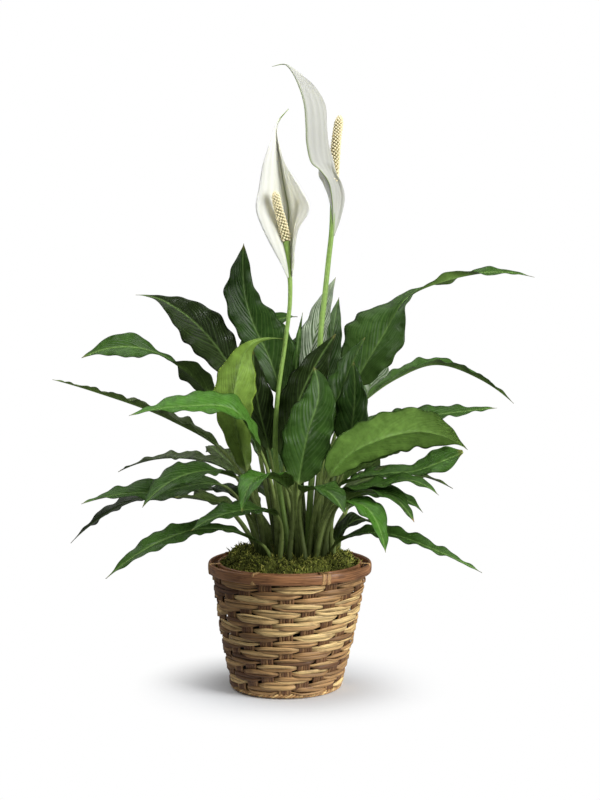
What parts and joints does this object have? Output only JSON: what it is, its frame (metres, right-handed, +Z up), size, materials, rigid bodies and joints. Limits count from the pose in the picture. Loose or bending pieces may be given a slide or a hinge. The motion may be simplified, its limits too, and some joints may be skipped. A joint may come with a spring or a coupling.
{
  "type": "potted peace lily in a woven cane basket",
  "caption": "Potted peace lily: glossy arching leaves and white hooded flowers on tall stalks, growing through moss in a tapered woven cane basket.",
  "frame": {"origin": "centre of the basket's flat underside, on the surface that it stands on", "axes": "+Z up the plant, +X to the right seen from the front, -Y towards the front"},
  "size_m": [0.5063, 0.2968, 0.617],
  "materials": {
    "woven_cane": "split cane and peeled wicker, woven, lightly varnished, straw to brown",
    "rim_bamboo": "stained split bamboo hoop, satin",
    "pot_plastic": "thin black blow-moulded grow pot",
    "potting_soil": "damp peat potting mix",
    "crown": "fleshy rootstock, green to brown",
    "moss": "dried sheet moss, olive, fibrous",
    "leaf": "glossy dark green leaf with sunken side veins",
    "flower_stalk": "smooth green stalk, satin",
    "spathe": "white waxy bract with fine parallel veins and a green tip",
    "spadix": "cream spike set with small knobs"
  },
  "bodies": {
    "root": {"basket_base": "woven_cane", "basket_wall": "woven_cane", "centre_leaf_01": "leaf", "centre_leaf_02": "leaf", "centre_leaf_03": "leaf", "centre_leaf_04": "leaf", "centre_leaf_05": "leaf", "centre_leaf_06": "leaf", "centre_leaf_07": "leaf", "centre_leaf_08": "leaf", "centre_leaf_09": "leaf", "centre_leaf_10": "leaf", "grow_pot": "pot_plastic", "left_flower_stalk": "flower_stalk", "left_leaf_01": "leaf", "left_leaf_02": "leaf", "left_leaf_03": "leaf", "left_leaf_04": "leaf", "left_leaf_05": "leaf", "left_leaf_06": "leaf", "left_leaf_07": "leaf", "left_leaf_08": "leaf", "left_leaf_09": "leaf", "left_leaf_10": "leaf", "left_leaf_11": "leaf", "left_leaf_12": "leaf", "left_leaf_13": "leaf", "left_leaf_14": "leaf", "left_leaf_15": "leaf", "left_leaf_16": "leaf", "left_leaf_17": "leaf", "left_spadix": "spadix", "left_spathe": "spathe", "moss": "moss", "potting_soil": "potting_soil", "rear_leaf_01": "leaf", "rear_leaf_02": "leaf", "rear_leaf_03": "leaf", "rear_leaf_04": "leaf", "right_flower_stalk": "flower_stalk", "right_leaf_01": "leaf", "right_leaf_02": "leaf", "right_leaf_03": "leaf", "right_leaf_04": "leaf", "right_leaf_05": "leaf", "right_leaf_06": "leaf", "right_leaf_07": "leaf", "right_leaf_08": "leaf", "right_leaf_09": "leaf", "right_leaf_10": "leaf", "right_leaf_11": "leaf", "right_leaf_12": "leaf", "right_leaf_13": "leaf", "right_leaf_14": "leaf", "right_spadix": "spadix", "right_spathe": "spathe", "rim_hoop_inner": "rim_bamboo", "rim_hoop_outer": "rim_bamboo", "root_crown": "crown"}
  },
  "joints": []
}
